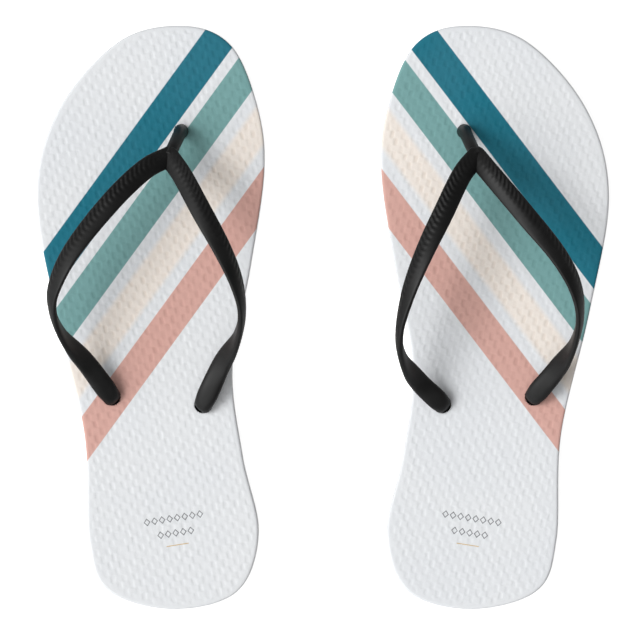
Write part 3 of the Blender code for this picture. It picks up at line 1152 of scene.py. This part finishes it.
# From the vee back. The band twists half a turn, so that its face looks up at the vee, outwards at the side
# and down at the hole.
STATIONS: list[Station] = [
    Station(0.73, (0.75, 0.63, 0.18), 0.40, 1.0),
    Station(0.90, (0.77, 0.55, -0.10), 0.45, 1.0),
    Station(0.98, (0.77, 0.33, -0.51), 0.45, 1.0),
    Station(0.93, (0.55, 0.18, -0.82), 0.45, 0.8),
    Station(0.80, (0.14, 0.07, -0.99), 0.40, 0.2),
    Station(0.57, (-0.22, 0.24, -0.95), 0.30, 0.0),
    Station(0.28, (-0.66, 0.62, -0.30), 0.15, 0.0),
]


@dataclass(frozen=True)
class Stem:
    """A round stem that goes through the sole, and the plug that holds it from below, by diameter."""

    stem: float
    plug: float


TOE_STEM = Stem(6.4 * MM, 18.0 * MM)
SIDE_STEM = Stem(7.2 * MM, 16.0 * MM)


@dataclass(frozen=True)
class Section:
    """A cross-section of the strap.

    roof is how sharply its outer face falls from a middle ridge, from 0 for an even oval, and square is how
    boxy it is. ribbed is how strongly it carries ribs.
    """

    centre: Vector
    edge: Vector
    width: float
    thickness: float
    roof: float = 0.0
    square: float = 2.0
    ribbed: float = 0.0

    def towards(self, other: Section, centre: Vector, edge: Vector, t: float) -> Section:
        """A section between this one and another, at a given centre and edge direction."""
        mixed = [
            getattr(self, name) + t * (getattr(other, name) - getattr(self, name))
            for name in ("width", "thickness", "roof", "square", "ribbed")
        ]
        return Section(centre, edge, *mixed)


@dataclass
class Strap:
    """The Y strap of one sandal: two arms and a toe post in one moulding, with their stems and plugs."""

    plan: SolePlan
    foot_top: float
    plug_bottom: float
    plug_top: float
    instep_height: float = 38.0 * MM
    vee_height: float = 22.0 * MM
    vee_overlap: float = 0.5 * MM
    band_width: float = 9.3 * MM
    band_thickness: float = 3.5 * MM
    paddle_width: float = 9.0 * MM
    paddle_thickness: float = 4.5 * MM
    root_thickness: float = 5.2 * MM
    post_diameter: float = 5.6 * MM
    plug_round: float = 0.5 * MM
    seat_gap: float = 0.3 * MM
    stem_depth: float = 2.6 * MM
    shoulder_height: float = 2.4 * MM
    lean_share: float = 0.30
    rise_share: float = 0.55
    rib_pitch: float = 2.65 * MM
    rib_height: float = 0.4 * MM
    rib_slant: float = 1.0
    outer_ribs: tuple[float, float] = (0.03, 0.86)
    inner_ribs: tuple[float, float] = (-0.5, -0.02)
    inner_strength: float = 0.12
    rib_fade: float = 0.12
    inner_fade: float = 0.2
    ridge_round: float = 0.12
    ring_points: int = 44
    ring_spacing: float = 0.30 * MM

    def build(self, name: str, ribs: Tree, material: bpy.types.Material) -> bpy.types.Object:
        """Makes the whole strap as one object.

        Args:
            name: The piece's name.
            ribs: The tree that raises the ribs.
            material: The strap's finish.

        Returns:
            The strap.
        """
        paths = ARM_PATHS[self.plan.side]
        parts = [
            self.loft(self.arm(paths["outer"], OUTER_HOLE, -1), f"{name}_outer_arm", -1),
            self.loft(self.arm(paths["inner"], INNER_HOLE, 1), f"{name}_inner_arm", 1),
            self.loft(self.post(), f"{name}_post", 1),
        ]
        settings = {"Pitch": self.rib_pitch, "Height": self.rib_height, "Material": material}
        for part in parts:
            apply_nodes(part, ribs, settings)
        return join(parts, name)

    def plug_sections(self, centre: Vector, edge: Vector, stem: Stem) -> list[Section]:
        """The round sections from a plug's underside up its stem."""
        turn = self.plug_round
        low, high = self.plug_bottom, self.plug_top
        rings = [
            (low, stem.plug - 2 * turn),
            (low + 0.3 * turn, stem.plug - 0.6 * turn),
            (low + turn, stem.plug),
            (high - turn, stem.plug),
            (high - 0.3 * turn, stem.plug - 0.6 * turn),
            (high, stem.plug - 2 * turn),
            (high, stem.stem + 2 * turn),
            (high + turn, stem.stem),
        ]
        return [Section(Vector((centre.x, centre.y, z)), edge, across, across) for z, across in rings]

    def arm(self, path: Sequence[Share], hole: Share, direction: int) -> list[Section]:
        """The sections of one arm, from its plug under the sole, round the side of the foot to the vee.

        Args:
            path: Where the arm passes seen from above, from the vee back.
            hole: Where it goes through the sole.
            direction: 1 for the inner arm and -1 for the outer one.

        Returns:
            The sections, close together.
        """
        facings = [station.edge for station in STATIONS]
        edges = [Vector((direction * outward, forward, up)) for outward, forward, up in facings]
        level = Vector((edges[-1].x, edges[-1].y, 0.0))
        foot = self.plan.drawn(hole, self.foot_top + self.seat_gap)
        end = self.plan.drawn(path[-1], STATIONS[-1].height * self.instep_height)
        lean = Vector((self.lean_share * (end.x - foot.x), self.lean_share * (end.y - foot.y), 0))
        lean.z = self.rise_share * end.z
        sunk, shoulder = Vector((0, 0, -self.stem_depth)), Vector((0, 0, self.shoulder_height))
        paddle, root = self.paddle_width, self.root_thickness
        # The paddle is narrower at the hole than above it.
        route = [
            Section(foot + sunk, level, SIDE_STEM.stem, SIDE_STEM.stem),
            Section(foot, level, paddle * 0.84, root * 0.9),
            Section(foot + shoulder, level, paddle * 0.92, root, 0, 2.2),
            Section(foot + lean, level, paddle * 1.04, self.paddle_thickness, 0.1, 2.5),
        ]
        for share, station, edge in reversed(list(zip(path, STATIONS, edges))):
            at = self.plan.drawn(share, self.foot_top + station.height * self.instep_height)
            width, thickness = self.band_width, self.band_thickness
            if station is STATIONS[-1]:
                width, thickness = paddle, self.paddle_thickness * 0.92
            route.append(Section(at, edge, width, thickness, station.roof, 2.8, station.ribbed))
        vee = self.plan.drawn(VEE, self.foot_top + self.vee_height + direction * self.vee_overlap / 2)
        forward = (vee - route[-1].centre).normalized() * self.band_width
        # How far past the vee, and the shares of the band's width and thickness there.
        nose = [(0.0, 1.0, 1.0, 0.4, 2.8), (0.42, 0.62, 0.85, 0.3, 2.4), (0.53, 0.2, 0.4, 0.0, 2.0)]
        for past, broad, deep, roof, square in nose:
            width, thickness = self.band_width * broad, self.band_thickness * deep
            route.append(Section(vee + forward * past, edges[0], width, thickness, roof, square))
        return self.plug_sections(foot, level, SIDE_STEM) + self.smoothed(route)

    def post(self) -> list[Section]:
        """The sections of the toe post, from its plug under the sole up into the vee."""
        edge = Vector((1, 0, 0))
        base, vee = self.plan.drawn(TOE_HOLE, 0.0), self.plan.drawn(VEE, 0.0)
        # Shares of the way to the vee, of its height and of the post's diameter.
        bends = [(0.0, -0.04, 1.10), (0.0, 0.05, 1.10), (0.12, 0.38, 1.02), (0.55, 0.78, 1.02)]
        bends.append((1.0, 0.99, 1.05))
        route = []
        for share, rise, swell in bends:
            centre = base.lerp(vee, share) + Vector((0, 0, self.foot_top + rise * self.vee_height))
            route.append(Section(centre, edge, self.post_diameter * swell, self.post_diameter * swell))
        return self.plug_sections(base, edge, TOE_STEM) + self.smoothed(route)

    def smoothed(self, route: Sequence[Section]) -> list[Section]:
        """Sections close together along a smooth curve through a route's own."""
        made = []
        last = len(route) - 1
        for i in range(last):
            near = [route[min(max(i + step, 0), last)] for step in (-1, 0, 1, 2)]
            start, end = near[1], near[2]
            count = max(2, round((end.centre - start.centre).length / self.ring_spacing))
            for k in range(count):
                t = k / count
                centre = catmull_rom(*(section.centre for section in near), t)
                edge = catmull_rom(*(section.edge.normalized() for section in near), t)
                made.append(start.towards(end, centre, edge, smooth_step(t)))
        return [*made, route[last]]

    def loft(self, sections: Sequence[Section], name: str, direction: int) -> bpy.types.Object:
        """A closed skin through sections.

        Args:
            sections: The sections, from one end to the other.
            name: The object's name.
            direction: 1 for the inner arm and the post, -1 for the outer arm.

        Returns:
            The object, in its place on the frame.
        """
        builder = bmesh.new()
        ribbed = builder.verts.layers.float.new("ribbed")
        way = builder.verts.layers.float.new("rib_way")
        rings = []
        travelled = 0.0
        last = len(sections) - 1
        for i, section in enumerate(sections):
            along = sections[min(i + 1, last)].centre - sections[max(i - 1, 0)].centre
            along.normalize()
            travelled += (section.centre - sections[max(i - 1, 0)].centre).length
            across = (section.edge - section.edge.dot(along) * along).normalized()
            outward = along.cross(across) * -direction
            ring = []
            for k in range(self.ring_points):
                u, v = self.outline_point(section, TAU * k / self.ring_points)
                offset = across * (u * section.width / 2) + outward * (v * section.thickness / 2)
                vert = builder.verts.new(self.plan.mirrored(section.centre + offset))
                vert[ribbed] = section.ribbed * self.ribs_at(u) * smooth_step(v / 0.2)
                vert[way] = travelled - self.rib_slant * abs(u) * section.width / 2
                ring.append(vert)
            rings.append(ring)
        Sheet.skin(builder, rings)
        builder.faces.new(rings[0])
        builder.faces.new(rings[-1])
        bmesh.ops.recalc_face_normals(builder, faces=builder.faces)
        return object_from(builder, name)

    def ribs_at(self, u: float) -> float:
        """How strong the ribs are at a share of the half width: full on the outer half, faint within."""
        low, high = self.outer_ribs
        outer = smooth_step((u - low) / self.rib_fade) * smooth_step((high - u) / self.rib_fade)
        low, high = self.inner_ribs
        inner = smooth_step((high - u) / self.rib_fade) * smooth_step((u - low) / self.inner_fade)
        return outer + self.inner_strength * inner

    def outline_point(self, section: Section, angle: float) -> Share:
        """A point of a section's outline, as shares of its half width and half thickness."""
        power = 2 / section.square
        u = abs(cos(angle)) ** power * (1 if cos(angle) >= 0 else -1)
        v = abs(sin(angle)) ** power * (1 if sin(angle) >= 0 else -1)
        if v > 0:
            v *= 1 - section.roof * (hypot(u, self.ridge_round) - self.ridge_round)
        return u, v


def join(parts: Sequence[bpy.types.Object], name: str) -> bpy.types.Object:
    """One object that holds the meshes of several, which are removed."""
    builder = bmesh.new()
    for part in parts:
        builder.from_mesh(part.data)
    materials = list(parts[0].data.materials)
    joined = object_from(builder, name)
    for material in materials:
        joined.data.materials.append(material)
    for part in parts:
        bpy.data.objects.remove(part)
    return joined


# ---------------------------------------------------------------------------------------------------------
# Sandal
# ---------------------------------------------------------------------------------------------------------


@dataclass(frozen=True)
class ReliefTrees:
    """The geometry trees that the sandals share."""

    pebbles: Tree
    tread: Tree
    ribs: Tree

    @classmethod
    def build(cls) -> ReliefTrees:
        """Makes each tree once."""
        return cls(pebble_tree(), tread_tree(), rib_tree())


@dataclass
class Sandal:
    """One sandal: three glued layers and a strap."""

    plan: SolePlan
    wardrobe: Wardrobe
    trees: ReliefTrees
    toe_clearance: float = 0.06 * MM
    tight_lip: float = 0.08 * MM
    side_clearance: float = 0.4 * MM
    layer_gap: float = 0.1 * MM
    plug_clearance: float = 0.4 * MM
    footbed_round: float = 1.1 * MM
    outsole_round: float = 0.7 * MM
    midsole_round: float = 0.35 * MM
    footbed_spacing: float = 0.62 * MM
    tread_spacing: float = 0.8 * MM
    pebble_height: float = 0.105 * MM
    tread_pitch: float = 12.8 * MM
    tread_wave: float = 2.2 * MM
    tread_wave_length: float = 28.0 * MM
    tread_groove: float = 2.2 * MM
    tread_depth: float = 1.2 * MM
    tread_ends: float = 13.0 * MM
    tread_grain_pitch: float = 3.2 * MM
    tread_grain_depth: float = 0.16 * MM

    def name(self, part: str) -> str:
        """The name of one of this sandal's pieces or nodes."""
        return f"{self.plan.side.label}_{part}"

    def box(self, part: str) -> tuple[Vector, Vector]:
        """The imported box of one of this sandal's nodes."""
        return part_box(self.name(part))

    def keep(self, piece: bpy.types.Object, part: str) -> None:
        """Puts a finished piece on its body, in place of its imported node."""
        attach(piece, self.plan.side.body)
        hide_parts(self.name(part))
        LOG.info("%s: %d faces", piece.name, len(piece.data.polygons))

    def holes(self, lip: float, stems: bool) -> tuple[Hole, ...]:
        """The three holes of a layer: the stems' own, or the wider recesses of the plugs."""
        toe, side = TOE_STEM.plug / 2 + self.plug_clearance, SIDE_STEM.plug / 2 + self.plug_clearance
        toe_lip = lip
        if stems:
            toe, side = TOE_STEM.stem / 2 + self.toe_clearance, SIDE_STEM.stem / 2 + self.side_clearance
            toe_lip = self.tight_lip
        places = ((TOE_HOLE, toe, toe_lip), (INNER_HOLE, side, lip), (OUTER_HOLE, side, lip))
        return tuple(Hole(self.plan.at(share), radius, edge) for share, radius, edge in places)

    def build_footbed(self) -> None:
        """The printed top sheet, with its pebble grain."""
        low, high = self.box("footbed")
        sheet = Sheet(
            self.plan,
            low[2] - self.layer_gap,
            high[2],
            bottom_round=0.15 * MM,
            top_round=self.footbed_round,
            holes=self.holes(lip=0.35 * MM, stems=True),
            top_relief=Relief(self.footbed_spacing, rim_margin=0.3 * MM, hole_margin=0.2 * MM, fade=1.2 * MM),
        )
        piece = sheet.build(self.name("footbed_sheet"))
        dress = {"Height": self.pebble_height, "Material": self.wardrobe.footbeds[self.plan.side]}
        settings = {**LATTICE.settings(self.plan.side), **dress}
        apply_nodes(piece, self.trees.pebbles, settings)
        self.keep(piece, "footbed")

    def build_midsole(self) -> None:
        """The foam core."""
        low, high = self.box("midsole")
        sheet = Sheet(
            self.plan,
            low[2] - self.layer_gap,
            high[2] + self.layer_gap,
            bottom_round=self.midsole_round,
            top_round=self.midsole_round,
            holes=self.holes(lip=0.1 * MM, stems=True),
            wall_steps=14,
        )
        piece = sheet.build(self.name("midsole_foam"))
        piece.data.materials.append(self.wardrobe.midsole)
        self.keep(piece, "midsole")

    def build_outsole(self) -> None:
        """The ground layer, with its zigzag tread and the recesses for the plugs."""
        low, high = self.box("outsole")
        sheet = Sheet(
            self.plan,
            low[2],
            high[2] + self.layer_gap,
            bottom_round=self.outsole_round,
            top_round=0.1 * MM,
            holes=self.holes(lip=0.25 * MM, stems=False),
            bottom_relief=Relief(
                self.tread_spacing, rim_margin=6.2 * MM, hole_margin=2.4 * MM, fade=0.8 * MM
            ),
        )
        piece = sheet.build(self.name("outsole_tread"))
        rows = int((self.plan.length - self.tread_ends) / self.tread_pitch)
        first = (self.plan.length - (rows - 1) * self.tread_pitch) / 2
        settings = {
            "Pitch": self.tread_pitch,
            "First Groove": self.plan.heel_y + first,
            "Centre": self.plan.centre_x,
            "Wave": self.tread_wave,
            "Wave Length": self.tread_wave_length,
            "Groove Width": self.tread_groove,
            "Depth": self.tread_depth,
            "Grain Pitch": self.tread_grain_pitch,
            "Grain Depth": self.tread_grain_depth,
            "Material": self.wardrobe.outsole,
        }
        apply_nodes(piece, self.trees.tread, settings)
        self.keep(piece, "outsole")

    def build_strap(self) -> None:
        """The strap, through all three layers."""
        low = self.box("strap")[0]
        outsole_top = self.box("outsole")[1][2]
        strap = Strap(self.plan, self.box("footbed")[1][2], low[2], outsole_top)
        piece = strap.build(self.name("y_strap"), self.trees.ribs, self.wardrobe.strap)
        self.keep(piece, "strap")

    def build(self) -> None:
        """Makes all four pieces."""
        self.build_footbed()
        self.build_midsole()
        self.build_outsole()
        self.build_strap()


# ---------------------------------------------------------------------------------------------------------
# Studio
# ---------------------------------------------------------------------------------------------------------


def bearing(azimuth: float, elevation: float) -> Vector:
    """The direction at an azimuth from +X and an elevation over the table."""
    return Vector((cos(azimuth) * cos(elevation), sin(azimuth) * cos(elevation), sin(elevation)))


@dataclass(frozen=True)
class Studio:
    """A white table, a soft key light and a broad panel on the left, and a camera straight above."""

    frame_width: float = 0.2879
    aim: tuple[float, float] = (-0.0003, -0.0020)
    lens: float = 600.0
    sensor: float = 36.0
    key_azimuth: float = radians(173)
    key_elevation: float = radians(52)
    key_strength: float = 1.15
    key_angle: float = radians(25)
    panel_azimuth: float = radians(203)
    panel_elevation: float = radians(40)
    panel_strength: float = 2.2
    panel_power: float = 4.0
    room: float = 0.19
    table_reach: float = 3.0
    table_gap: float = 0.1 * MM
    table_tone: float = 0.8
    table_glow: float = 0.8

    def build(self) -> None:
        """Makes the floor, the lights and the camera."""
        self.floor()
        self.key()
        self.world()
        self.camera()
        bpy.context.scene.view_settings.view_transform = "Standard"

    def floor(self) -> None:
        """The white table top. Its glow is seen but lights nothing."""
        builder = bmesh.new()
        bmesh.ops.create_grid(builder, x_segments=1, y_segments=1, size=self.table_reach)
        bmesh.ops.translate(builder, verts=builder.verts, vec=(0, 0, -self.table_gap))
        table = object_from(builder, "table_top")
        material, wiring, shader = new_material("table_white")
        shader.inputs["Base Color"].default_value = (self.table_tone,) * 3 + (1.0,)
        shader.inputs["Roughness"].default_value = 0.9
        shader.inputs["Emission Color"].default_value = WHITE
        seen = wiring.add("ShaderNodeLightPath").outputs["Is Camera Ray"]
        wiring.feed(shader.inputs["Emission Strength"], wiring.times(seen, self.table_glow))
        table.data.materials.append(material)

    def key(self) -> None:
        """The soft key light."""
        light = bpy.data.lights.new("key", "SUN")
        light.energy = self.key_strength
        light.angle = self.key_angle
        lamp = bpy.data.objects.new("key", light)
        lamp.rotation_mode = "QUATERNION"
        lamp.rotation_quaternion = bearing(self.key_azimuth, self.key_elevation).to_track_quat("Z", "Y")
        bpy.context.scene.collection.objects.link(lamp)

    def world(self) -> None:
        """A dim white room with one broad soft panel."""
        world = bpy.data.worlds.new("white_room")
        world.use_nodes = True
        bpy.context.scene.world = world
        wiring = Wiring(world.node_tree)
        background = world.node_tree.nodes["Background"]
        place = wiring.add("ShaderNodeTexCoord").outputs["Generated"]
        panel = bearing(self.panel_azimuth, self.panel_elevation)
        facing = wiring.math("MAXIMUM", wiring.vector("DOT_PRODUCT", place, panel).outputs["Value"], 0.0)
        glow = wiring.times(wiring.math("POWER", facing, self.panel_power), self.panel_strength)
        background.inputs["Color"].default_value = WHITE
        wiring.feed(background.inputs["Strength"], wiring.plus(glow, self.room))

    def camera(self) -> None:
        """The camera, straight above and far off."""
        lens = bpy.data.cameras.new("camera")
        lens.lens = self.lens
        lens.sensor_width = self.sensor
        lens.clip_end = 100.0
        camera = bpy.data.objects.new("camera", lens)
        distance = self.frame_width * self.lens / self.sensor
        camera.location = (self.aim[0], self.aim[1], distance)
        bpy.context.scene.collection.objects.link(camera)
        bpy.context.scene.camera = camera


def main() -> None:
    """Builds the pair on its frame, logging each piece's face count."""
    logging.basicConfig(level=logging.INFO, format="%(name)s: %(message)s")
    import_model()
    Studio().build()
    plans = [SolePlan.from_frame(side) for side in Side]
    wardrobe = Wardrobe.build(plans)
    trees = ReliefTrees.build()
    for plan in plans:
        Sandal(plan, wardrobe, trees).build()


if __name__ == "__main__":
    main()
